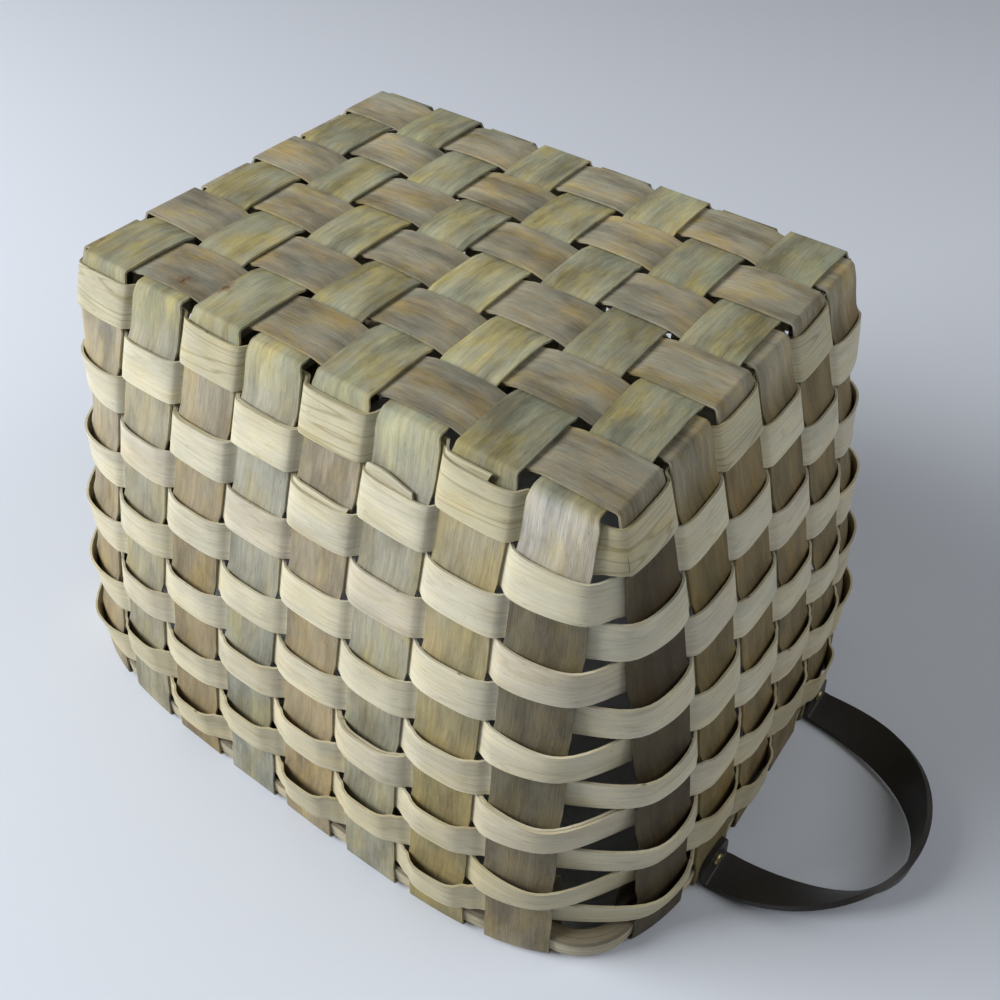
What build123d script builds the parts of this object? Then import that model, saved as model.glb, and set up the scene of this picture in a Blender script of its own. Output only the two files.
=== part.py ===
import os
from math import atan2, cos, degrees, exp, hypot, pi, radians, sin

from build123d import *

# A splint basket, standing upside down on its mouth as it was found.
# X runs along the basket's long side, Y along its short side and Z up.
# The mouth's folded edge rests on Z = 0 and the plaited base is on top.

# Stakes: wide splints that cross in the base and run down the walls
pitch = 28.0
stake_gap = 3.6
stake_thickness = 0.9
cross_count = 8
long_count = 6
base_wave = 0.7
fold_reach = 1.5
fold_radius = 3.0

# Weavers: one narrower splint for each row, lapped where it meets itself
row_count = 11
row_height = 16.3
row_gap = 0.65
weaver_thickness = 0.9
weave_clearance = 0.4
weave_bulge = 2.0
first_row_drop = 3.2
lap_stakes = 3
lap_step = 1.6
lap_starts = [4, 17, 22, 15, 25, 19, 13, 5, 21, 16, 24]

# Walls: they open out from the base to the mouth and grow rounder on the way
flare = 48.0
flare_bow = 0.6
fan_out = 0.18
mouth_corner = 4.0
upper_corner = 4.0
upper_corner_fade = 60.0
base_corner = 60.0
base_corner_fade = 12.0
wall_steps = 8

# Rim: a bent wooden hoop that every stake is folded round
fit_clearance = 0.3
hoop_thickness = 7.0
hoop_height = 11.5
hoop_slot = 2.5
hoop_lower_chamfer = 2.0
hoop_upper_chamfer = 1.0
scarf_cut = 0.4
scarf_length = 48.0
turn_radius = 2.7
rest_wear = 0.05
tail_height = 46.0
tail_offset = 4.6

# Handles: a leather strap on each end, riveted through a stake and the hoop
strap_width = 18.0
strap_thickness = 2.4
strap_end_height = 12.0
strap_end_corner = 5.0
strap_reach = 66.0
strap_clearance = 0.3
strap_sections = 14
handle_stakes = [2, 5]
rivet_height = 8.6
rivet_diameter = 3.0
rivet_clearance = 0.2
head_diameter = 5.6
head_height = 1.4
head_round = 1.2
burr_diameter = 8.0
burr_thickness = 0.8
burr_gap = 0.1
peen_diameter = 4.4
peen_height = 0.7

# Sizes that follow from the ones above
stake_width = pitch - stake_gap
hoop_bottom = stake_thickness + fit_clearance
hoop_top = hoop_bottom + hoop_height
row_step = row_height + row_gap
rows_depth = first_row_drop + row_count * row_step - row_gap
base_level = hoop_top + hoop_slot + rows_depth
half_long = cross_count * pitch / 2 + fold_reach
half_short = long_count * pitch / 2 + fold_reach
weave_offset = (stake_thickness + weaver_thickness) / 2 + weave_clearance
hoop_outer = stake_thickness / 2 + fit_clearance
hoop_inner = hoop_outer + hoop_thickness
tail_inner = hoop_inner + fit_clearance + stake_thickness / 2
turn_level = stake_thickness / 2 + turn_radius - rest_wear
strap_inner = stake_thickness / 2 + fit_clearance
strap_outer = strap_inner + strap_thickness
burr_outer = tail_inner + stake_thickness / 2 + burr_gap
burr_inner = burr_outer + burr_thickness
ring_count = 2 * (cross_count + long_count)

os.makedirs("parts", exist_ok=True)


def save(piece, name):
    """Name a finished piece and write its file."""
    piece.label = name
    export_step(piece, f"parts/{name}.step")


def reach(lateral, depth, front):
    """Distance from the middle to a wall's mid-surface, at a place along that wall."""
    share = min(depth / base_level, 1.0)
    opened = flare * share * (1 + flare_bow * (1 - share))
    power = mouth_corner + upper_corner * exp(-depth / upper_corner_fade)
    power += base_corner * exp(-depth / base_corner_fade)
    far = (half_short if front else half_long) + opened
    side = (half_long if front else half_short) + opened
    return far * (1 - min(abs(lateral) / side, 1.0) ** power) ** (1 / power)


def stake_place(number, count, depth):
    """Where a stake's middle lies along its wall, fanned out towards the mouth."""
    middle = (number - (count + 1) / 2) * pitch
    return middle * (1 + fan_out * depth / base_level)


def heading(points, k):
    """The direction of a line of points at one of them, between its two neighbours."""
    before = points[max(k - 1, 0)]
    after = points[min(k + 1, len(points) - 1)]
    turn = Vector(0, 0, 0)
    for start, end in ((before, points[k]), (points[k], after)):
        step = Vector(end[0] - start[0], end[1] - start[1], 0)
        if step.length > 0:
            turn = turn + step.normalized()
    return turn.normalized()


def beside(points, distance):
    """A line of points moved sideways by a distance, to the left of its direction."""
    moved = []
    for k, point in enumerate(points):
        turn = heading(points, k)
        moved.append((point[0] - turn.Y * distance, point[1] + turn.X * distance))
    return moved


def chain(points, runs):
    """Draw a line through points as a row of straights, arcs and smooth curves."""
    spans = []
    first = 0
    for kind, steps in runs:
        spans.append((kind, first, first + steps))
        first += steps
    leaving = {}
    arriving = {}
    for kind, first, last in spans:
        if kind == "straight":
            edge = Line(points[first], points[last])
        elif kind == "arc":
            edge = ThreePointArc(points[first], points[(first + last) // 2], points[last])
        else:
            continue
        leaving[last] = edge % 1
        arriving[first] = edge % 0
    for kind, first, last in spans:
        if kind == "curve":
            start = leaving.get(first, heading(points, first))
            end = arriving.get(last, heading(points, last))
            Spline(*points[first:last + 1], tangents=(start, end))


def base_line(count, first_sign):
    """A stake's wavy middle line in the base, from its first crossing to its last."""
    points = []
    runs = []
    quarter = stake_width / 4
    for k in range(count):
        middle = (k - (count - 1) / 2) * pitch
        level = base_level + first_sign * (-1) ** k * base_wave
        if k > 0:
            points.append((middle - pitch / 2, base_level))
            points.append((middle - 2 * quarter, level))
            points.append((middle - quarter, level))
            runs.append(("curve", 4))
        if 0 < k < count - 1:
            runs.append(("straight", 1))
        if k < count - 1:
            points.append((middle + quarter, level))
            points.append((middle + 2 * quarter, level))
    return points, runs


def side_line(middle, edge, front, crossed, sign):
    """A stake edge's middle line from its last crossing down to the hoop's underside."""
    lift = sign * base_wave
    slope = flare * (1 + flare_bow) / base_level
    turn_angle = pi / 2 - atan2(slope, 1)
    fold_depth = fold_radius * (1 - cos(turn_angle)) - lift
    start = reach(middle + edge, fold_depth, front) - fold_radius * sin(turn_angle)
    flat_start = (crossed - 1) / 2 * pitch - stake_width / 4
    points = [(flat_start, base_level + lift), (start, base_level + lift)]
    for k in range(1, 5):
        angle = turn_angle * k / 4
        across = start + fold_radius * sin(angle)
        points.append((across, base_level + lift - fold_radius * (1 - cos(angle))))
    last_depth = base_level - hoop_top
    depths = [fold_depth + (last_depth - fold_depth) * k / wall_steps for k in range(1, wall_steps + 1)]
    for depth in depths + [base_level - turn_level]:
        lateral = middle * (1 + fan_out * depth / base_level) + edge
        points.append((reach(lateral, depth, front), base_level - depth))
    outside = points[-1][0]
    for angle in (radians(22.5), radians(45), radians(67.5), radians(90)):
        drop = turn_radius * sin(angle)
        draw = turn_radius * (1 - cos(angle))
        points.append((outside - draw, turn_level - drop))
    runs = [("straight", 1), ("arc", 4), ("curve", wall_steps), ("straight", 1), ("arc", 4)]
    return points, runs


def tail_line(middle, edge, front):
    """The middle line of a stake's end, from the hoop's underside up inside the wall."""
    turn_depth = base_level - turn_level
    centre = middle * (1 + fan_out * turn_depth / base_level)
    ends = [reach(centre + side * stake_width / 2, turn_depth, front) for side in (-1, 1)]
    slant = hypot(stake_width, ends[1] - ends[0]) / stake_width
    inside = reach(centre + edge, turn_depth, front) - tail_inner * slant
    points = []
    for angle in (radians(90), radians(67.5), radians(45), radians(22.5), 0):
        drop = turn_radius * sin(angle)
        draw = turn_radius * (1 - cos(angle))
        points.append((inside + draw, turn_level - drop))
    for height in (hoop_top + fit_clearance, (hoop_top + tail_height) / 2, tail_height):
        depth = base_level - height
        place = middle * (1 + fan_out * depth / base_level) + edge
        share = min((tail_height - height) / (tail_height - hoop_top), 1.0)
        inset = (tail_offset + (tail_inner - tail_offset) * share) * slant
        points.append((reach(place, depth, front) - inset, height))
    return points, [("arc", 4), ("straight", 1), ("curve", 2)]


def other_side(line):
    """The same line on the other side of the middle, in reverse order."""
    points, runs = line
    return [(-across, height) for across, height in reversed(points)], runs[::-1]


def stake_paths(number, count, crossed, front, side):
    """One edge of a stake: its middle line as tail, body and tail, on that edge's plane."""
    middle = (number - (count + 1) / 2) * pitch
    edge = side * stake_width / 2
    first_sign = 1 if (number + front) % 2 == 0 else -1
    last_sign = first_sign * (-1) ** (crossed - 1)
    near_points, near_runs = other_side(side_line(middle, edge, front, crossed, first_sign))
    far_points, far_runs = side_line(middle, edge, front, crossed, last_sign)
    base_points, base_runs = base_line(crossed, first_sign)
    points = near_points[:-1] + base_points + far_points[1:]
    tail = tail_line(middle, edge, front)
    return other_side(tail), (points, near_runs + base_runs + far_runs), tail


def stake_plane(number, count, front, side):
    """The plane that holds one edge of a stake, leaning out with the fan."""
    middle = (number - (count + 1) / 2) * pitch
    edge = middle + side * stake_width / 2
    lean = middle * fan_out / base_level
    if front:
        return Plane((edge, 0, base_level), x_dir=(0, 1, 0), z_dir=(1, 0, lean)), hypot(1, lean)
    return Plane((0, edge, base_level), x_dir=(1, 0, 0), z_dir=(0, -1, -lean)), hypot(1, lean)


def on_plane(points, stretch):
    """Points of a run and a height, as the leaning plane of a stake's edge sees them."""
    return [(across, (height - base_level) * stretch) for across, height in points]


def make_stake(number, count, crossed, front):
    """A stake: one splint from its tail inside, over the base, to its other tail."""
    half = stake_thickness / 2
    with BuildPart() as stake:
        for side in (-1, 1):
            place, stretch = stake_plane(number, count, front, side)
            first_tail, body, last_tail = stake_paths(number, count, crossed, front, side)
            with BuildSketch(place):
                with BuildLine():
                    tips = []
                    for distance in (half, -half):
                        start = on_plane(beside(first_tail[0], distance), stretch)
                        middle = on_plane(beside(body[0], distance), stretch)
                        end = on_plane(beside(last_tail[0], distance), stretch)
                        chain(start, first_tail[1])
                        Line(start[-1], middle[0])
                        chain(middle, body[1])
                        Line(middle[-1], end[0])
                        chain(end, last_tail[1])
                        tips.append((start[0], end[-1]))
                    Line(tips[0][0], tips[1][0])
                    Line(tips[0][1], tips[1][1])
                make_face()
        loft(ruled=True, clean=False)
        split(bisect_by=Plane.XY, keep=Keep.TOP)
        if not front and number in handle_stakes:
            for place in (attachment(number, 1), attachment(number, -1)):
                with BuildSketch(place.offset(stake_thickness)):
                    Circle(rivet_diameter / 2 + rivet_clearance)
                extrude(amount=-(burr_outer + stake_thickness), mode=Mode.SUBTRACT)
    return stake.part


def stake_edges(level, number, count, side_sign, front):
    """A stake's two edges at a level, seen from above, on one of the four walls."""
    depth = base_level - level
    middle = stake_place(number, count, depth)
    corners = []
    for side in (-1, 1):
        lateral = middle + side * stake_width / 2
        far = reach(lateral, depth, front) * side_sign
        corners.append((lateral, far) if front else (far, lateral))
    return corners


def ring_stakes():
    """Every place where a stake meets a wall, anticlockwise from the front left corner."""
    front = [(number, cross_count, -1, True) for number in range(1, cross_count + 1)]
    right = [(number, long_count, 1, False) for number in range(1, long_count + 1)]
    back = [(number, cross_count, 1, True) for number in range(cross_count, 0, -1)]
    left = [(number, long_count, -1, False) for number in range(long_count, 0, -1)]
    return front + right + back + left


def facet(level, place):
    """A stake's start, end and outward direction at a level, going anticlockwise."""
    number, count, side_sign, front = place
    start, end = stake_edges(level, number, count, side_sign, front)
    if (front and side_sign > 0) or (not front and side_sign < 0):
        start, end = end, start
    along = Vector(end[0] - start[0], end[1] - start[1], 0).normalized()
    return Vector(*start), Vector(*end), Vector(along.Y, -along.X, 0)


def is_outside(row, place):
    """Whether a row's weaver passes outside a stake."""
    number, count, side_sign, front = place
    near = (side_sign < 0) == front
    return (row + number) % 2 == (0 if near else 1)


def weaver_points(row, level, edge):
    """One side of a weaver at a level, from its first end round to its lapped end."""
    places = ring_stakes()
    start = lap_starts[(row - 1) % len(lap_starts)]
    passes = ring_count + lap_stakes
    middle_line = []
    last_offset = None
    for k in range(passes):
        place = places[(start + k) % ring_count]
        begin, end, outward = facet(level, place)
        outside = is_outside(row, place)
        offset = weave_offset if outside else -weave_offset
        if k >= ring_count and outside:
            offset += lap_step
        if k < lap_stakes and not outside:
            offset -= lap_step
        bulge = weave_bulge if outside else 0
        if last_offset is not None:
            gap_middle = (begin + last_end) / 2
            gap_out = (outward + last_out).normalized()
            middle_line.append(gap_middle + gap_out * ((offset + last_offset) / 2))
        shares = [0, 0.25, 0.5, 0.75, 1]
        if k == 0:
            shares = shares[1:]
        if k == passes - 1:
            shares = shares[:-1]
        for share in shares:
            rise = bulge * (1 - (2 * share - 1) ** 2)
            middle_line.append(begin + (end - begin) * share + outward * (offset + rise))
        last_offset, last_end, last_out = offset, end, outward
    flat = [(point.X, point.Y) for point in middle_line]
    return beside(flat, edge)


def weaver_runs(row):
    """The pieces of a weaver's line: flat or bowed at each stake, curved between them."""
    places = ring_stakes()
    start = lap_starts[(row - 1) % len(lap_starts)]
    runs = []
    for k in range(ring_count + lap_stakes):
        if k > 0:
            runs.append(("curve", 4))
        outside = is_outside(row, places[(start + k) % ring_count])
        runs.append(("arc" if outside else "straight", 2))
    return runs


def make_weaver(row):
    """A row's weaver: one splint woven round the stakes, its two ends lapped."""
    top = base_level - first_row_drop - (row - 1) * row_step
    half = weaver_thickness / 2
    runs = weaver_runs(row)
    with BuildPart() as weaver:
        for level in (top, top - row_height):
            inner = weaver_points(row, level, half)
            outer = weaver_points(row, level, -half)
            with BuildSketch(Plane.XY.offset(level)):
                with BuildLine():
                    chain(inner, runs)
                    Line(inner[-1], outer[-1])
                    chain(outer, runs)
                    Line(inner[0], outer[0])
                make_face()
        loft(ruled=True, clean=False)
    return weaver.part


def ring_outline(level, inset):
    """A closed line round the basket at a level, so far inside the stakes' middle."""
    points = []
    for place in ring_stakes():
        begin, end, outward = facet(level, place)
        for share in (0, 0.25, 0.5, 0.75, 1):
            point = begin + (end - begin) * share - outward * inset
            points.append((point.X, point.Y))
    return points


def attachment(number, side_sign):
    """The plane of a handle's rivet: on the stake's middle, facing out of the wall."""
    place = (number, long_count, side_sign, False)
    begin, end, outward = facet(rivet_height, place)
    low_begin, low_end, low_out = facet(turn_level, place)
    high_begin, high_end, high_out = facet(hoop_top, place)
    rise = hoop_top - turn_level
    lean = ((low_begin + low_end - high_begin - high_end) / 2).dot(outward) / rise
    along = (end - begin).normalized()
    middle = (begin + end) / 2
    facing = (outward + Vector(0, 0, lean)).normalized()
    return Plane((middle.X, middle.Y, rivet_height), x_dir=along, z_dir=facing)


def handle_places(side_sign):
    """The two rivet planes of the handle on one end of the basket."""
    return [attachment(number, side_sign) for number in handle_stakes]


def hinge_reach():
    """How far out the handles' straps bend, measured from the basket's middle."""
    corners = []
    for place in handle_places(1):
        for share in (-0.5, 0.5):
            corners.append((place * Location((share * strap_width, 0, strap_outer))).position.X)
    return max(corners) + strap_clearance


def make_hoop():
    """The rim's wooden hoop, eased along its edges and cut on a long slant."""
    levels = [
        (hoop_bottom, hoop_lower_chamfer),
        (hoop_bottom + hoop_lower_chamfer, 0),
        (hoop_top - hoop_upper_chamfer, 0),
        (hoop_top, hoop_upper_chamfer),
    ]
    with BuildPart() as hoop:
        for level, ease in levels:
            with BuildSketch(Plane.XY.offset(level)):
                with BuildLine():
                    Spline(*ring_outline(level, hoop_outer + ease), periodic=True)
                make_face()
        loft(ruled=True)
        for level, ease in levels:
            with BuildSketch(Plane.XY.offset(level)):
                with BuildLine():
                    Spline(*ring_outline(level, hoop_inner - ease), periodic=True)
                make_face()
        loft(ruled=True, mode=Mode.SUBTRACT)
        back = reach(0, base_level - hoop_bottom, True) - (hoop_outer + hoop_inner) / 2
        slant = degrees(atan2(hoop_thickness, scarf_length))
        with BuildSketch(Plane.XY.offset(hoop_bottom)):
            with Locations(Location((0, back, 0), (0, 0, slant))):
                Rectangle(1.5 * scarf_length, scarf_cut)
        extrude(amount=hoop_height, mode=Mode.SUBTRACT)
        for place in handle_places(1) + handle_places(-1):
            with BuildSketch(place.offset(-2 * hoop_inner)):
                Circle(rivet_diameter / 2 + rivet_clearance)
            extrude(amount=2 * hoop_inner, mode=Mode.SUBTRACT)
    return hoop.part


def make_strap_end(place):
    """A handle's riveted end: a flat of leather with round corners at the top."""
    bottom = strap_thickness + strap_clearance - rivet_height
    with BuildPart() as strap_end:
        with BuildSketch(place.offset(strap_inner)):
            with Locations((0, bottom + strap_end_height / 2)):
                flat = Rectangle(strap_width, strap_end_height)
            fillet(flat.vertices().group_by(Axis.Z)[-1], strap_end_corner)
            Circle(rivet_diameter / 2 + rivet_clearance, mode=Mode.SUBTRACT)
        extrude(amount=strap_thickness)
    return strap_end.part


def make_strap_loop(side_sign):
    """A handle's loop, lying out from the mouth: flat at both ends, on edge in its bend."""
    hinge = hinge_reach()
    centres = [place.origin for place in handle_places(side_sign)]
    half_spread = abs(centres[0].Y - centres[1].Y) / 2
    bow = strap_reach - strap_thickness
    with BuildPart() as loop:
        for k in range(strap_sections + 1):
            angle = pi * k / strap_sections
            tilt = pi / 2 * sin(angle) ** 1.5
            out = Vector(sin(angle) / bow, -cos(angle) / half_spread, 0).normalized()
            ahead = Vector(bow * cos(angle), half_spread * sin(angle), 0).normalized()
            wide = out * cos(tilt) + Vector(0, 0, sin(tilt))
            level = (strap_width * sin(tilt) + strap_thickness * cos(tilt)) / 2
            across = hinge + bow * sin(angle)
            centre = Vector(across, -half_spread * cos(angle), level)
            if side_sign < 0:
                centre = Vector(-centre.X, centre.Y, centre.Z)
                ahead = Vector(-ahead.X, ahead.Y, 0)
                wide = Vector(-wide.X, wide.Y, wide.Z)
            with BuildSketch(Plane(centre, x_dir=wide, z_dir=ahead)):
                Rectangle(strap_width, strap_thickness)
        loft()
    return loop.part


def make_rivets():
    """The four rivets: a domed head outside, a shank and a small hammered end."""
    with BuildPart() as rivets:
        for place in handle_places(1) + handle_places(-1):
            head_place = place.offset(strap_outer + burr_gap)
            with BuildSketch(head_place):
                Circle(head_diameter / 2)
            extrude(amount=head_height)
            circles = rivets.edges(Select.LAST).filter_by(GeomType.CIRCLE)
            fillet(circles.sort_by_distance(place.origin)[-1], head_round)
            with BuildSketch(head_place):
                Circle(rivet_diameter / 2)
            extrude(amount=-(strap_outer + burr_gap + burr_inner + peen_height))
            with BuildSketch(place.offset(-burr_inner)):
                Circle(peen_diameter / 2)
            extrude(amount=-peen_height)
    return rivets.part


def make_burrs():
    """The four burrs: washers on the rivets' inner ends."""
    with BuildPart() as burrs:
        for place in handle_places(1) + handle_places(-1):
            with BuildSketch(place.offset(-burr_outer)):
                Circle(burr_diameter / 2)
                Circle(rivet_diameter / 2 + burr_gap, mode=Mode.SUBTRACT)
            extrude(amount=-burr_thickness)
    return burrs.part


if __name__ == "__main__":
    for number in range(1, cross_count + 1):
        save(make_stake(number, cross_count, long_count, True), f"cross_stake_{number}")
    for number in range(1, long_count + 1):
        save(make_stake(number, long_count, cross_count, False), f"long_stake_{number}")
    for row in range(1, row_count + 1):
        save(make_weaver(row), f"weaver_row_{row:02d}")
    save(make_hoop(), "rim_hoop")
    for side_name, side_sign in (("right", 1), ("left", -1)):
        for end_name, place in zip(("front", "back"), handle_places(side_sign)):
            save(make_strap_end(place), f"strap_end_{side_name}_{end_name}")
        save(make_strap_loop(side_sign), f"strap_loop_{side_name}")
    save(make_rivets(), "handle_rivets")
    save(make_burrs(), "rivet_burrs")
    print("base level", round(base_level, 2), "hinge reach", round(hinge_reach(), 2))
    print("rivet places", [tuple(round(c, 2) for c in place.origin) for place in handle_places(1)])
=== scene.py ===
# %% [markdown]
# # A splint basket
# The basket is plaited from wide, flat strips split off a log. It stands upside down on its mouth,
# so the plaited base is on top. The fixed frame comes from the CAD model. The strips, the hoop and
# the leather are modelled again here in the same places, slightly uneven, as handwork is.

# %% Load the frame
from collections import namedtuple
from math import atan2, cos, exp, hypot, pi, radians, sin
from random import Random

import bpy
from mathutils import Matrix, Vector, noise


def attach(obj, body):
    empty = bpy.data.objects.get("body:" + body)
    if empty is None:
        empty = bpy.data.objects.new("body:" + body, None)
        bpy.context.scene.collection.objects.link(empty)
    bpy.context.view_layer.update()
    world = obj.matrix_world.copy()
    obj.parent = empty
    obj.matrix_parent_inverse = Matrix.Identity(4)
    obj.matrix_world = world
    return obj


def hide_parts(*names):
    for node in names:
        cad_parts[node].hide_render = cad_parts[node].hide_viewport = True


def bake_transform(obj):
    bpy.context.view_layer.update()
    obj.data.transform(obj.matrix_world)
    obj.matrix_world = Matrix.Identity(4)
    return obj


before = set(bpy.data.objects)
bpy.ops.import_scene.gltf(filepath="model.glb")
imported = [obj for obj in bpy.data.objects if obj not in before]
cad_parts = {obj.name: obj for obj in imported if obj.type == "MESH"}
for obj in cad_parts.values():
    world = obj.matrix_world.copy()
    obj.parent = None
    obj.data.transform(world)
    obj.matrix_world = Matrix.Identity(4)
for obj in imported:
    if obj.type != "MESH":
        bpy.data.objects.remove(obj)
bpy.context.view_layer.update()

# %% [markdown]
# The basket's sizes are in millimetres, as a maker would think of them. Most are the values of the
# CAD model, so each sheet lies where its solid lies. The wall is a surface that opens from a
# sharp-cornered base to a round-cornered mouth, and every strip takes its place from it.

# %% Sizes of the basket
MM = 0.001
PITCH = 28.0
STAKE_WIDTH = 24.4
STAKE_THICKNESS = 0.9
CROSS_COUNT = 8
LONG_COUNT = 6
RING_COUNT = 2 * (CROSS_COUNT + LONG_COUNT)
BASE_LEVEL = 204.2
HALF_LONG = 113.5
HALF_SHORT = 85.5
FLARE = 48.0
FLARE_BOW = 0.6
FAN_OUT = 0.18
MOUTH_CORNER = 4.0
UPPER_CORNER = 4.0
UPPER_CORNER_FADE = 60
BASE_CORNER = 60
BASE_CORNER_FADE = 12
HOOP_TOP = 12.7
ROW_COUNT = 11
ROW_HEIGHT = 16.3
ROW_STEP = 16.95
FIRST_ROW_DROP = 3.2


def reach(lateral, depth, front):
    """How far a wall's middle surface is from the basket's middle, at a place along that wall."""
    below = max(depth, 0)
    share = min(below / BASE_LEVEL, 1.0)
    opened = FLARE * share * (1 + FLARE_BOW * (1 - share))
    power = (MOUTH_CORNER + UPPER_CORNER * exp(-below / UPPER_CORNER_FADE)
             + BASE_CORNER * exp(-below / BASE_CORNER_FADE))
    far = (HALF_SHORT if front else HALF_LONG) + opened
    side = (HALF_LONG if front else HALF_SHORT) + opened
    return far * (1 - min(abs(lateral) / side, 1.0) ** power) ** (1 / power)


def fanned(middle, depth):
    """Where a stake's middle line is along its wall: the stakes fan out towards the mouth."""
    return middle * (1 + FAN_OUT * depth / BASE_LEVEL)


def smooth(share):
    """Ease from 0 to 1 without a corner at either end."""
    share = min(max(share, 0.0), 1.0)
    return share * share * (3 - 2 * share)


def wander(seed, lengths, heights):
    """A gentle unevenness along a strip: a sum of waves, in millimetres."""
    dice = Random(seed)
    waves = [(2 * pi / length * dice.uniform(0.8, 1.25), dice.uniform(0, 2 * pi), height)
             for length, height in zip(lengths, heights)]
    return lambda s: sum(height * sin(pace * s + phase) for pace, phase, height in waves)


print("wall's reach at the mouth", round(reach(0, BASE_LEVEL, True), 1),
      round(reach(0, BASE_LEVEL, False), 1))

# %% [markdown]
# A strip of split wood is flat across and bends only along its length. Each one starts as a grid
# primitive with as many rows and columns as the shape needs. Its points are then moved to where the
# strip runs in the weave, because no hand tool follows a weave, and a Solidify modifier gives the
# sheet its thickness. The UV map keeps the distance along the strip, so that the grain can follow
# it. There are two material slots, because the cut edges are paler than the faces.

# %% A strip from a grid
FLAT_ANGLE = radians(50)


def placed_grid(name, rows, uv_place):
    """Add a grid and move its points to rows[i][j], in millimetres; uv_place gives metres."""
    long_steps, wide_steps = len(rows) - 1, len(rows[0]) - 1
    bpy.ops.object.select_all(action="DESELECT")
    bpy.ops.mesh.primitive_grid_add(x_subdivisions=long_steps, y_subdivisions=wide_steps, size=1)
    grid = bpy.context.object
    grid.name = name
    places = {}
    for vertex in grid.data.vertices:
        i = round((vertex.co.x + 0.5) * long_steps)
        j = round((vertex.co.y + 0.5) * wide_steps)
        places[vertex.index] = (i, j)
        vertex.co = rows[i][j] * MM
    layer = grid.data.uv_layers.active.data
    for loop in grid.data.loops:
        layer[loop.index].uv = uv_place(*places[loop.vertex_index])
    return grid


def strip_sheet(name, rows, thickness, body, nodes):
    """Make a strip from rows of points across it, and say what it rides on and stands for."""
    wide_steps = len(rows[0]) - 1
    middle = wide_steps // 2
    run = [0.0]
    for before, after in zip(rows, rows[1:]):
        run.append(run[-1] + (after[middle] - before[middle]).length)
    halfway = rows[(len(rows) - 1) // 2]
    width = (halfway[0] - halfway[-1]).length
    sheet = placed_grid(name, rows, lambda i, j: (run[i] * MM, (j / wide_steps - 0.5) * width * MM))
    wall = sheet.modifiers.new("wood", "SOLIDIFY")
    wall.thickness = thickness * MM
    wall.offset = 0
    wall.use_even_offset = True
    wall.use_quality_normals = True
    wall.material_offset_rim = 1
    for _ in range(2):
        sheet.data.materials.append(None)
    bpy.ops.object.modifier_apply(modifier=wall.name)
    bpy.ops.object.shade_smooth_by_angle(angle=FLAT_ANGLE)
    if body:
        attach(sheet, body)
    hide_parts(*nodes)
    return sheet


# %% [markdown]
# The stakes cross in the base. Each pass lies flat and dips steeply between two crossings, which
# gives the base its small square holes. At the base's edge a stake bends sharply and runs down the
# wall. It lies a little further out where a weaver passes behind it and a little further in where
# one passes over it, so it waves gently on its way.

# %% The line of a stake in the base and the wall
BASE_WAVE = 0.55
BASE_ARCH = 0.35
BASE_STEEPNESS = 4
FOLD_RADIUS = 1.8
STAKE_WAVE = 0.6
STAKE_STEEPNESS = 3
WAVE_START = 6
WAVE_GROWTH = 8
WAVE_END = 6
WAVE_STEP = 2.2
WALL_STEP = 2.6
LEAD_STEPS = 6
FOLD_STEPS = 8
TURN_RADIUS = 2.7
TURN_LEVEL = STAKE_THICKNESS / 2 + TURN_RADIUS


def crossing_level(across, crossed, first_sign):
    """A stake's height above the base's middle surface: over one crossing stake, under the next."""
    place = across / PITCH + (crossed - 1) / 2
    k = min(max(round(place), 0), crossed - 1)
    off = place - k
    sign = first_sign * (-1) ** k
    if not 0 <= k + (1 if off > 0 else -1) <= crossed - 1:
        return sign * (BASE_WAVE + BASE_ARCH)
    wave = BASE_WAVE * min(BASE_STEEPNESS * cos(pi * off), 1)
    return sign * (wave + BASE_ARCH * cos(pi * off))


def wall_wave(depth, number, parity):
    """How far out of the wall's middle surface a stake lies, with the rows going in and out."""
    place = (depth - FIRST_ROW_DROP - ROW_HEIGHT / 2) / ROW_STEP
    fade = smooth((depth - WAVE_START) / WAVE_GROWTH)
    fade *= smooth((BASE_LEVEL - HOOP_TOP - depth) / WAVE_END)
    push = min(max(STAKE_STEEPNESS * cos(pi * place), -1), 1)
    return -STAKE_WAVE * push * (-1) ** (number + parity) * fade


def wall_half(middle, edge, front, crossed, sign, number, parity):
    """One edge line of half a stake, as (reach, height), from the last crossing down the wall."""
    lift = sign * BASE_WAVE
    turn = pi / 2 - atan2(FLARE * (1 + FLARE_BOW) / BASE_LEVEL, 1)
    fold_depth = FOLD_RADIUS * (1 - cos(turn)) - lift
    start = reach(middle + edge, fold_depth, front) - FOLD_RADIUS * sin(turn)
    across = (crossed - 1) / 2 * PITCH
    points = []
    for k in range(1, LEAD_STEPS):
        way = k / LEAD_STEPS
        swell = BASE_ARCH * sign * (1 - smooth(way))
        points.append((across + (start - across) * way, BASE_LEVEL + lift + swell))
    for k in range(FOLD_STEPS + 1):
        angle = turn * k / FOLD_STEPS
        points.append((start + FOLD_RADIUS * sin(angle),
                       BASE_LEVEL + lift - FOLD_RADIUS * (1 - cos(angle))))
    wall_steps = int((BASE_LEVEL - TURN_LEVEL - fold_depth) / WALL_STEP)
    for k in range(1, wall_steps + 1):
        depth = fold_depth + (BASE_LEVEL - TURN_LEVEL - fold_depth) * k / wall_steps
        lateral = fanned(middle, depth) + edge
        far = reach(lateral, depth, front) + wall_wave(depth, number, parity)
        points.append((far, BASE_LEVEL - depth))
    return points


# %% [markdown]
# At the mouth a stake turns round under the hoop, and its end is tucked up inside. The hoop and the
# tail are straight across a stake where the wall curves, so the tail stands off the wall a little
# more at a corner. The two halves and the base between them make one line, and a sheet is nine such
# lines side by side, each with small waves of its own in place, width and height.

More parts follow.
